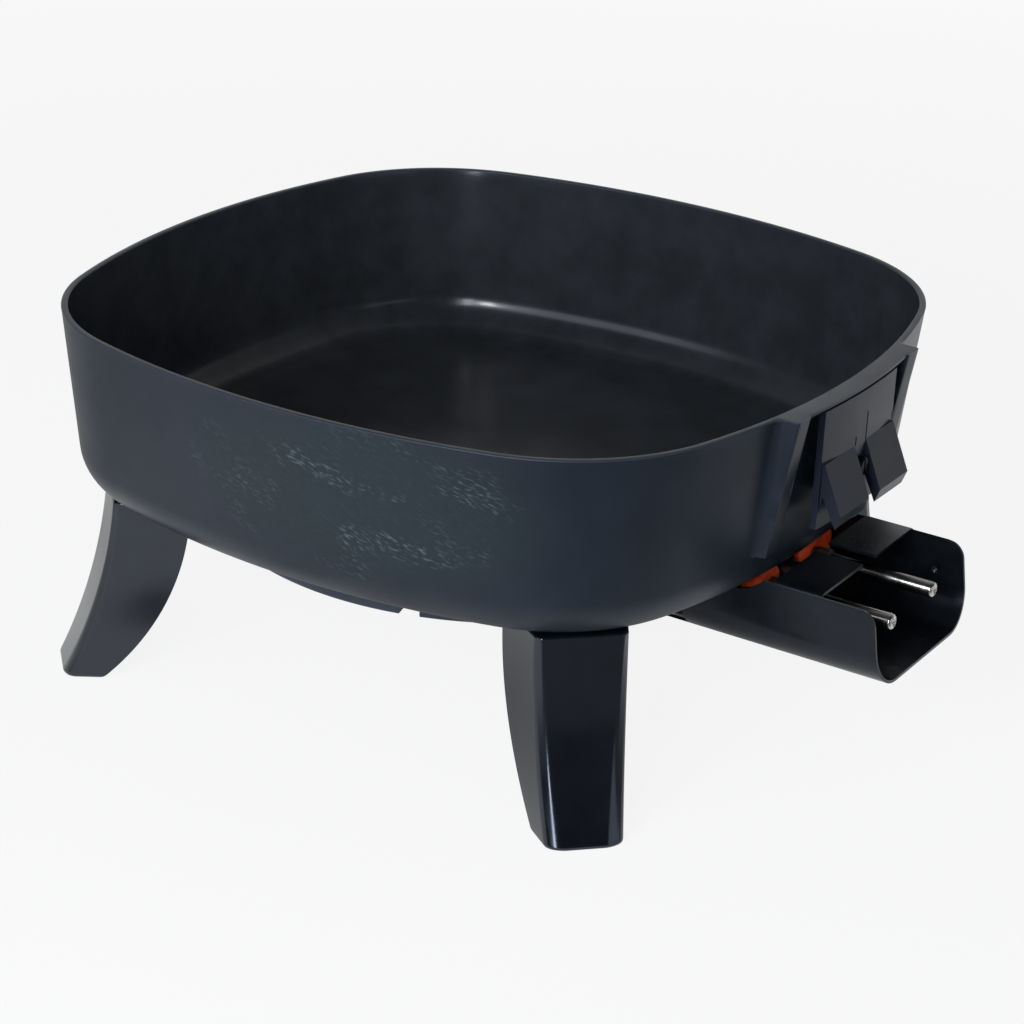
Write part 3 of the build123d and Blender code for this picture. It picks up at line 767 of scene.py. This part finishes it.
def bosses():
    """The cast blocks round the pan: the terminal boss, four leg bosses and both pairs of posts."""
    top = RIM - size("depth") + CAST_OVERLAP
    surface = Surface()
    blocks = [(TERMINAL_BOSS, TERMINAL_BOSS_DROP, 0)]
    blocks += [(LEG_BOSS, LEG_BOSS_DROP, angle) for angle in CORNERS.values()]
    for corners, drop, angle in blocks:
        block = rounded_box(rounded_rectangle(*corners), top - drop, top, 0.8)
        block = turned(block, radians(angle))
        surface.grid(block, wrap_columns=True).cap(block[0], block[-1])
    for profile, places, axis in (
        (SHROUD_POST, SHROUD_POST_PLACES, "z"),
        (BRACKET_POST, BRACKET_POST_PLACES, "x"),
    ):
        for place in places:
            surface.grid(spun(profile, place, axis, steps=32), wrap_columns=True)
    return surface


def leg_arc(top, foot, bow, z, base):
    """Distance from the pan's axis of an arc through the leg's top, its middle less bow, and foot."""
    ax, ay, bx, by, cx, cy = top, base, (top + foot) / 2 - bow, base / 2, foot, 0
    d = 2 * (ax * (by - cy) + bx * (cy - ay) + cx * (ay - by))
    aa, bb, cc = ax**2 + ay**2, bx**2 + by**2, cx**2 + cy**2
    x = (aa * (by - cy) + bb * (cy - ay) + cc * (ay - by)) / d
    y = (aa * (cx - bx) + bb * (ax - cx) + cc * (bx - ax)) / d
    return x - np.sqrt((ax - x) ** 2 + (ay - y) ** 2 - (z - y) ** 2)


def rounded_path(points, radius, steps):
    """An open path for each level, with each inner corner cut to a short curve.

    Each corner gives steps points of the parabola that leaves one run and joins the next at
    radius from the corner.
    """
    out = [points[:, :1]]
    t = np.linspace(0, 1, steps)[None, :, None]
    for k in range(1, points.shape[1] - 1):
        before, here, after = (points[:, k + j, None] for j in (-1, 0, 1))
        start, end = (
            here + (other - here) * radius / np.linalg.norm(other - here, axis=-1, keepdims=True)
            for other in (before, after)
        )
        out.append((1 - t) ** 2 * start + 2 * t * (1 - t) * here + t**2 * end)
    out.append(points[:, -1:])
    return np.concatenate(out, 1)


def leg_surface(angle):
    """One leg: an outline of six corners at each height, hollow towards the pan's axis.

    The front path runs round the outside and the back path returns: straight across at the
    foot and the seat, round the hollow between them, and round the boss's pocket above the
    seat. Each width is foot + growth s + swell s (1 - s) at a share s of the leg's height, and
    the round on the corners grows toward the foot with (1 - s) squared. A quarter round ends
    the leg at the foot and a smaller one at the top.
    """
    base = RIM - size("depth")
    edge = size("leg_edge")
    seat = base - LEG_SEAT_DROP
    top = base - LEG_GAP
    roof = seat - LEG_SEAT_SHEET
    quarter = np.linspace(0, pi / 2, 7)
    levels = [edge * (1 - np.cos(quarter)), [LEG_FLOOR / 2, LEG_FLOOR, LEG_FLOOR]]
    levels += [np.linspace(LEG_FLOOR, roof, 40)[1:], [roof]]
    levels += [np.linspace(roof, seat, 4)[1:], [seat], np.linspace(seat, top - LEG_TOP_EDGE, 8)[1:]]
    levels += [top - LEG_TOP_EDGE * (1 - np.sin(quarter[1:]))]
    z = np.concatenate(levels)
    kind = np.repeat([0, 1, 0, 2], [9, 40, 4, 14])[:, None, None]
    inset = np.zeros(len(z))
    inset[:7] = edge * (1 - np.sin(quarter))
    inset[-6:] = LEG_TOP_EDGE * (1 - np.cos(quarter[1:]))
    outer = leg_arc(*LEG_OUTER, z, base) - inset
    inner = leg_arc(*LEG_INNER, z, base) + inset
    s = z / base

    def half_width(foot, growth, swell):
        """Half of a width at each level."""
        return (foot + growth * s + swell * s * (1 - s)) / 2 - inset

    def outline(wall):
        """The six corners at each level, a wall's thickness inside the leg."""
        a = half_width(*LEG_BACK_WIDTH) - wall
        b = half_width(*LEG_SIDE_WIDTH) - wall
        c = half_width(*LEG_FACE_WIDTH) - wall / 2
        face = outer - wall
        side = face - LEG_CHAMFER
        xs = [inner, side, face, face, side, inner]
        return np.stack([np.stack(xs, -1), np.stack([-a, -b, -c, c, b, a], -1)], -1)

    nose = np.full_like(z, POCKET_NOSE)
    halfway = (inner + nose) / 2
    xs = np.stack([inner, halfway, nose, nose, halfway, inner], -1)
    ys = np.broadcast_to(POCKET_HALF * np.array([-1, -1, -1, 1, 1, 1]), xs.shape)
    corner = LEG_CORNER + LEG_CORNER_GROWTH * (1 - s) ** 2
    front = rounded_path(outline(0.0), corner[:, None, None], 8)
    pocket = rounded_path(np.stack([xs, ys], -1), 0.6, 6)[:, ::-1]
    cavity = rounded_path(outline(LEG_WALL), 1.0, 6)[:, ::-1]
    across = np.linspace(0, 1, cavity.shape[1])[None, :, None]
    straight = front[:, -1:] * (1 - across) + front[:, :1] * across
    back = np.where(kind == 1, cavity, np.where(kind == 2, pocket, straight))
    ring = np.concatenate([front, back], 1)
    points = np.concatenate([ring, np.broadcast_to(z[:, None, None], ring.shape[:2] + (1,))], -1)
    points = turned(points, radians(angle))
    return Surface().grid(points, wrap_columns=True).cap(points[0], points[-1])


class SKILLET_OT_legs(bpy.types.Operator):
    """Build the four moulded legs"""

    bl_idname = "skillet.legs"
    bl_label = "Legs"

    def execute(self, context):
        phenolic = moulded_phenolic(context.scene.skillet_finishes.legs)
        for name, angle in CORNERS.items():
            leg = leg_surface(angle)
            piece(f"moulded_leg_{name}", leg, [phenolic], "black_phenolic", [f"leg_{name}"], sharp=32)
        return {"FINISHED"}


def bracket_surface():
    """The bowed plate with two flared tabs.

    Rows run down the front, across the bottom edge and up the back. Columns run across. In a
    tab's columns the front rows below the fold follow the tab's wedge instead of the plate,
    and beside a tab's top corners they drop into a short or a long relief groove.
    """
    bow = size("bow")
    bow_centre = PAN_HALF - bow
    front, back, top, bottom = 5.6, 3.1, 145.2, 100.0
    fold, root, groove = 125.0, 113.0, 0.9
    face = PAN_HALF + front - 0.3
    rows = np.array([top, 136, 136, 128.5, 128.5, fold, fold, 121, 117, root, 106, bottom])
    tab_x = np.array([0, 0, 0, 0, 0, 0, face, face + 7.8, face + 5.8, face, 0, 0])
    tab_z = np.array([0, 0, 0, 0, 0, 0, fold, 106.8, 101.6, root, 0, 0])
    across = [-28.5, -27.5, -27.5, -16, -4.5, -4.5, -3.7, -3.7, 0, 3.7, 3.7, 4.5, 4.5, 16, 27.5, 27.5]
    y = np.array([*across, 28.1, 28.1, 28.5])[None, :]
    column = np.arange(y.size)[None, :]
    tab = ((column >= 2) & (column <= 4)) | ((column >= 12) & (column <= 14))
    short = ((column >= 5) & (column <= 6)) | ((column >= 15) & (column <= 16))
    long = (column >= 10) & (column <= 11)
    row = np.arange(len(rows))[:, None]
    bowed = bow_centre + np.sqrt((bow + front) ** 2 - y**2)
    flared = (tab_x > 0)[:, None] & tab
    x = np.where(flared, np.maximum(tab_x[:, None], bowed), bowed)
    z = np.where(flared, tab_z[:, None], rows[:, None])
    grooved = (row <= 5) & (((row >= 4) & short) | ((row >= 2) & long))
    x = np.where(grooved, x - groove, x)
    behind = bow_centre + np.sqrt((bow + back) ** 2 - y**2)
    x = np.concatenate([x, behind, behind])
    z = np.concatenate([z, np.full_like(behind, bottom), np.full_like(behind, top)])
    points = np.stack([x, np.broadcast_to(y, x.shape), z], -1)
    return Surface().grid(points, wrap_rows=True).cap(points[:, 0], points[:, -1])


class SKILLET_OT_bracket(bpy.types.Operator):
    """Build the handle bracket"""

    bl_idname = "skillet.bracket"
    bl_label = "Handle bracket"

    def execute(self, context):
        enamel = baked_enamel("baked_enamel_on_bracket", context.scene.skillet_finishes.bracket)
        piece(
            "tabbed_bracket", bracket_surface(), [enamel], "bracket_paint", ["handle_bracket"],
            bevel=0.4, sharp=20,
        )
        return {"FINISHED"}


def shroud_section():
    """One half of the shroud's section, from its flange to the middle of its bottom: y and z."""
    flange = np.stack([np.array([5.0, 15.0, 25.0]), np.full(3, SHROUD_TOP)], -1)
    crease_centre = (SHROUD_HALF - SHROUD_CREASE, SHROUD_TOP - SHROUD_CREASE)
    crease = arc(crease_centre, SHROUD_CREASE, pi / 2, 0, 9)
    wall = np.array([77.6, 76.7, 75.8, 74.9, 73.7, 72, 70.5, 69, 68.3, 67.6, 66.9, 66.2, 65.5, 64.8])
    wall = np.stack([np.full(len(wall), SHROUD_HALF), wall], -1)
    bend = arc((SHROUD_HALF - SHROUD_BEND, SHROUD_BOTTOM + SHROUD_BEND), SHROUD_BEND, 0, -pi / 2, 25)
    bottom = np.stack([np.array([16.0, 8.0, 0.0]), np.full(3, SHROUD_BOTTOM)], -1)
    return np.concatenate([flange, crease, wall, bend, bottom])


def shroud_surface():
    """The shroud's outside: its section carried along X, kept where the flat sheet has metal.

    The lines along X follow the sheet's cut edges: the plate, the quarter-round foot of each
    wall, the clearance under the pan, the flanges, and the leaning end with its round corner.
    The far wall has a dent pressed in from inside, whose depth falls smoothly with distance.
    """
    half = shroud_section()
    section = np.concatenate([half, half[-2::-1] * (-1, 1)])
    y, z = section.T
    plate, foot, wall_start = 97.0, 107.5, 117.5
    foot_low, foot_high = 55.0, 65.0
    foot_round = wall_start - foot
    cut = np.clip(z, foot_low, foot_high)
    rise = np.sqrt(np.maximum(foot_round**2 - (foot_high - cut) ** 2, 0))
    inner = np.where(z >= foot_high, wall_start, np.where(z <= foot_low, foot, foot + rise))
    pan_x, pan_z, clearance, pan_edge, ledge = 125.6, 92.8, 19.7, 73.1, 142.0
    under = pan_x + np.sqrt(np.maximum(clearance**2 - (pan_z - z) ** 2, 0))
    under = np.minimum(np.where(z > pan_edge, under, pan_x), ledge)
    wall_top, corner, lean = 79.7, 6.0, 4.5
    end = SHROUD_END - lean * (z - SHROUD_BOTTOM) / (wall_top - SHROUD_BOTTOM)
    high = np.clip((z - (wall_top - corner)) / corner, 0, 1)
    end -= corner * (1 - np.sqrt(1 - high**2))
    fixed = [144.3, 154, 163.5, 169.0, 172.6, 173.3, 174.0, 174.7, 175.4, 176.1, 176.8, 180.0]
    lines = [np.full_like(z, plate), np.full_like(z, foot), inner, under]
    lines += [np.full_like(z, x) for x in fixed] + [end]
    x = np.maximum.accumulate(np.stack(lines), 0)
    x = np.minimum(x, end[None, :])
    far = np.broadcast_to(y, x.shape) > SHROUD_HALF - 0.1
    reach = np.hypot(x - DENT_PLACE[0], z - DENT_PLACE[1])
    dent = np.where(far, smooth((DENT_REACH - reach) / DENT_SLOPE), 0)
    points = np.stack([x, y + dent, np.broadcast_to(z, x.shape)], -1)
    column = np.arange(x.shape[0] - 1)[:, None] + np.zeros((1, len(z) - 1), int)
    middle_z = ((z[1:] + z[:-1]) / 2)[None, :]
    keep = (column >= 1) | (middle_z < SHROUD_BOTTOM + 1.8)
    keep &= (column >= 2) | (middle_z < foot_high)
    keep &= (column >= 3) | (middle_z < pan_edge + 0.1)
    in_flange = (column >= 4) & (column <= 5)
    keep &= (middle_z < wall_top - 0.15) | in_flange
    return Surface().grid(points, keep=keep)


class SKILLET_OT_shroud(bpy.types.Operator):
    """Build the bent sheet shroud round the contact pins"""

    bl_idname = "skillet.shroud"
    bl_label = "Terminal shroud"

    def execute(self, context):
        paint = painted_sheet_steel(context.scene.skillet_finishes.shroud)
        piece(
            "bent_sheet_shroud", shroud_surface(), [paint], "black_paint", ["terminal_shroud"],
            bevel=size("sheet_edge"), sheet=size("sheet"), sharp=30,
        )
        return {"FINISHED"}


def seal_surface(side):
    """A lump of silicone: a flattened ball with squared-off sides and a slow swelling.

    A point at angles u and v is a superellipsoid's: thickness times sin v, width times cos v
    cos u and height times cos v sin u, where each wave is raised to a power below 1.
    """
    u = np.linspace(-pi, pi, 65)[:-1][:, None]
    v = np.linspace(-pi / 2, pi / 2, 33)[None, :]

    def bent(w, power):
        """A wave's value, its size raised to a power and its sign kept."""
        return np.sign(w) * np.abs(w) ** power

    half_thickness, half_width, half_height = SEAL_HALF
    swell = 1 + 0.07 * np.sin(3 * u + side) * np.cos(v) + 0.05 * np.sin(5 * u - side) * np.cos(v)
    y = half_width * bent(np.cos(v), 0.6) * bent(np.cos(u), 0.75) * swell
    z = half_height * bent(np.cos(v), 0.6) * bent(np.sin(u), 0.75) * swell
    x = half_thickness * bent(np.sin(v), 0.7) * np.ones_like(u)
    points = np.stack([x, y, z], -1) + np.array(SEAL_CENTRE) * (1, side, 1)
    return Surface().grid(points, wrap_rows=True)


class SKILLET_OT_terminals(bpy.types.Operator):
    """Build the contact pins, their bushings and seals, and the probe sleeve"""

    bl_idname = "skillet.terminals"
    bl_label = "Terminals"

    def execute(self, context):
        colours = context.scene.skillet_finishes
        nickel = plated_steel("nickel_plated_pin", colours.pins, 0.16, 0.26)
        # The bushings' dark colour is painted shade.
        bushing_shade = fired_ceramic("brown_glazed_steatite", colours.bushing_shade, 0.3)
        silicone = silicone_rubber(colours.seals)
        stainless = drawn_stainless(colours.sheath)
        for name, side in SIDES.items():
            centre = (0, side * TERMINAL_HALF, TERMINAL_HEIGHT)
            for kind, profile, finish, slot in (
                ("contact_pin", PIN, nickel, "plated_pin"),
                ("ceramic_bushing", BUSHING, bushing_shade, "steatite"),
            ):
                turning = Surface().grid(spun(profile, centre), wrap_columns=True)
                piece(f"turned_{kind}_{name}", turning, [finish], slot, [f"{kind}_{name}"], sharp=40)
            piece(
                f"silicone_seal_{name}", seal_surface(side), [silicone], "red_silicone",
                [f"terminal_seal_{name}"], sharp=60,
            )
        sleeve = Surface().grid(spun(SLEEVE, (0, 0, TERMINAL_HEIGHT)), wrap_columns=True)
        piece("drawn_probe_sleeve", sleeve, [stainless], "sheath_steel", ["probe_sleeve"], sharp=40)
        return {"FINISHED"}


class SKILLET_OT_hardware(bpy.types.Operator):
    """Finish the solids that stay: screws, washers and the heating element"""

    bl_idname = "skillet.hardware"
    bl_label = "Screws and element"

    def execute(self, context):
        colours = context.scene.skillet_finishes
        zinc = plated_steel("zinc_plated_steel", colours.screws, 0.3, 0.42)
        stainless = bpy.data.materials["drawn_stainless_tube"]
        powder = fired_ceramic("pressed_magnesia", colours.powder, 0.8)
        oxide = black_oxide(colours.oxide)
        wire = plated_steel("resistance_wire", colours.sheath, 0.45, 0.55)
        kept = {
            zinc: ["shroud_screws", "leg_screws", "leg_washers"],
            oxide: ["bracket_screws"],
            stainless: ["element_sheath", "cold_pin_left", "cold_pin_right"],
            powder: ["element_insulation"],
            wire: ["resistance_coil"],
        }
        for finish, names in kept.items():
            for name in names:
                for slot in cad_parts[name].material_slots:
                    slot.material = finish
        return {"FINISHED"}


def seen_directly(tree):
    """1 for rays from the camera and for glossy and transmitted ones, 0 for diffuse light."""
    path = add(tree, "ShaderNodeLightPath").outputs
    seen = path["Is Camera Ray"]
    for ray in ("Is Glossy Ray", "Is Transmission Ray"):
        seen = add(tree, "ShaderNodeMath", {0: seen, 1: path[ray]}, operation="MAXIMUM")
    return seen, path["Is Glossy Ray"]


def paper_shader(tree, paper, light, shadow):
    """White paper: plain to diffuse light, as bright as the background to the camera.

    Near the object a share of it takes the light, so that the object's shadow lies on it. In
    reflections it is darker under the object, past its right side, a little past its left side
    and in a small spot beside the left leg, where no light falls.
    """
    seen, glossy = seen_directly(tree)
    where = add(tree, "ShaderNodeTexCoord").outputs["Object"]
    amount = faded(
        tree, where,
        ("DISTANCE", (0, 0, 0), 0.08, 0.18, 0.4, 1.0),
        ("DOT_PRODUCT", (0.9, -0.43, 0), 0.14, 0.3, 1.0, 0.15),
        ("DOT_PRODUCT", (-0.9, 0.3, 0), 0.13, 0.22, 1.0, 0.55),
        ("DISTANCE", (-0.064, -0.169, 0), 0.008, 0.034, 0.3, 1.0),
    )
    away = faded(tree, where, ("DISTANCE", (0, 0, 0), 0.5, 2.2, 1 - shadow, 1.0))
    plain = add(tree, "ShaderNodeBsdfDiffuse", {"Color": shade(paper, light)})
    strength = add(tree, "ShaderNodeMix", {0: glossy, 2: 1.0, 3: amount}, data_type="FLOAT")
    bright = add(tree, "ShaderNodeEmission", {"Color": paper, "Strength": strength})
    share = add(tree, "ShaderNodeMath", {0: seen, 1: away}, operation="MULTIPLY")
    mixed = add(tree, "ShaderNodeMixShader", {0: share, 1: plain, 2: bright})
    add(tree, "ShaderNodeOutputMaterial", {"Surface": mixed})


def studio_world(tree, paper, fill):
    """White to the camera; reflections show a white sweep behind, dim above and at the front right."""
    seen, glossy = seen_directly(tree)
    amount = faded(
        tree, add(tree, "ShaderNodeTexCoord").outputs["Generated"],
        ("DOT_PRODUCT", (-0.55, 0.83, 0), -0.3, 1.0, 0.06, 1.0),
        ("DOT_PRODUCT", (0, 0, 1), 0.1, 0.55, 1.0, 0.4),
    )
    reflected = add(tree, "ShaderNodeMix", {0: glossy, 2: 1.0, 3: amount}, data_type="FLOAT")
    strength = add(tree, "ShaderNodeMix", {0: seen, 2: fill, 3: reflected}, data_type="FLOAT")
    sky = add(tree, "ShaderNodeBackground", {"Color": paper, "Strength": strength})
    add(tree, "ShaderNodeOutputWorld", {"Surface": sky})


def softbox(name, place, width, height, power, tint):
    """A rectangular lamp at a place in metres, facing the pan."""
    lamp = bpy.data.lights.new(name, "AREA")
    lamp.shape = "RECTANGLE"
    lamp.size, lamp.size_y = width, height
    lamp.energy = power
    lamp.color = linear(tint)[:3]
    obj = linked(name, lamp)
    line = Vector(LAMP_AIM) - Vector(place)
    obj.matrix_world = Matrix.Translation(place) @ line.to_track_quat("-Z", "Y").to_matrix().to_4x4()


def photo_camera(stage):
    """The camera that took the photograph, from its angles, its distance and its lens."""
    a, e, r = stage.azimuth, stage.elevation, stage.roll
    back = Vector((sin(a) * cos(e), -cos(a) * cos(e), sin(e)))
    right = Vector((cos(a), sin(a), 0))
    up = back.cross(right)
    x = cos(r) * right + sin(r) * up
    y = cos(r) * up - sin(r) * right
    focal = stage.lens / SENSOR * PICTURE
    aside = (RIM_PIXEL[0] - PICTURE / 2) / focal * stage.distance
    above = (PICTURE / 2 - RIM_PIXEL[1]) / focal * stage.distance
    rim_middle = Vector((PAN_AXIS, 0, RIM)) * MM
    place = rim_middle - aside * x - above * y + stage.distance * back
    camera = bpy.data.cameras.new("photo_camera")
    camera.sensor_width = SENSOR
    camera.lens = stage.lens
    obj = linked("photo_camera", camera)
    obj.matrix_world = Matrix.Translation(place) @ Matrix((x, y, back)).transposed().to_4x4()
    bpy.context.scene.camera = obj


class SKILLET_OT_stage(bpy.types.Operator):
    """Set up the camera, the light and the pale floor"""

    bl_idname = "skillet.stage"
    bl_label = "Stage"

    def execute(self, context):
        scene = context.scene
        scene.view_settings.view_transform = "Standard"
        stage = scene.skillet_stage
        photo_camera(stage)
        mesh = bpy.data.meshes.new("paper_floor")
        reach = 12.0
        corners = [(-reach, -reach, 0), (reach, -reach, 0), (reach, reach, 0), (-reach, reach, 0)]
        mesh.from_pydata(corners, [], [(0, 1, 2, 3)])
        floor = linked("paper_floor", mesh)
        paper = bpy.data.materials.new("white_paper")
        paper.use_nodes = True
        paper.node_tree.nodes.clear()
        paper_shader(paper.node_tree, stage.paper, 0.8, 0.12)
        mesh.materials.append(paper)
        world = bpy.data.worlds.new("studio")
        world.use_nodes = True
        scene.world = world
        world.node_tree.nodes.clear()
        studio_world(world.node_tree, stage.paper, stage.fill)
        for name, place, width, height, power, tint in LAMPS:
            softbox(name, place, width, height, getattr(stage, power), tint)
        return {"FINISHED"}


class SKILLET_PT_panel(bpy.types.Panel):
    """Lists the skillet's pieces, sizes and finishes"""

    bl_label = "Electric Skillet"
    bl_idname = "SKILLET_PT_panel"
    bl_space_type = "VIEW_3D"
    bl_region_type = "UI"
    bl_category = "Skillet"

    def draw(self, context):
        scene = context.scene
        for operator in OPERATORS:
            self.layout.operator(operator.bl_idname)
        for group in (scene.skillet_sizes, scene.skillet_finishes, scene.skillet_stage):
            box = self.layout.box()
            for name in group.__annotations__:
                box.prop(group, name)


OPERATORS = (
    SKILLET_OT_stage,
    SKILLET_OT_pan,
    SKILLET_OT_legs,
    SKILLET_OT_bracket,
    SKILLET_OT_shroud,
    SKILLET_OT_terminals,
    SKILLET_OT_hardware,
)
GROUPS = {"skillet_sizes": SkilletSizes, "skillet_finishes": SkilletFinishes, "skillet_stage": SkilletStage}


def register():
    for cls in (*GROUPS.values(), *OPERATORS, SKILLET_PT_panel):
        bpy.utils.register_class(cls)
    for name, cls in GROUPS.items():
        setattr(bpy.types.Scene, name, bpy.props.PointerProperty(type=cls))


def unregister():
    for name in GROUPS:
        delattr(bpy.types.Scene, name)
    for cls in (SKILLET_PT_panel, *reversed(OPERATORS), *GROUPS.values()):
        bpy.utils.unregister_class(cls)


def main():
    """Registers the add-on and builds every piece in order."""
    register()
    bpy.ops.skillet.stage()
    bpy.ops.skillet.pan()
    bpy.ops.skillet.legs()
    bpy.ops.skillet.bracket()
    bpy.ops.skillet.shroud()
    bpy.ops.skillet.terminals()
    bpy.ops.skillet.hardware()
    bpy.context.view_layer.update()


if __name__ == "__main__":
    main()
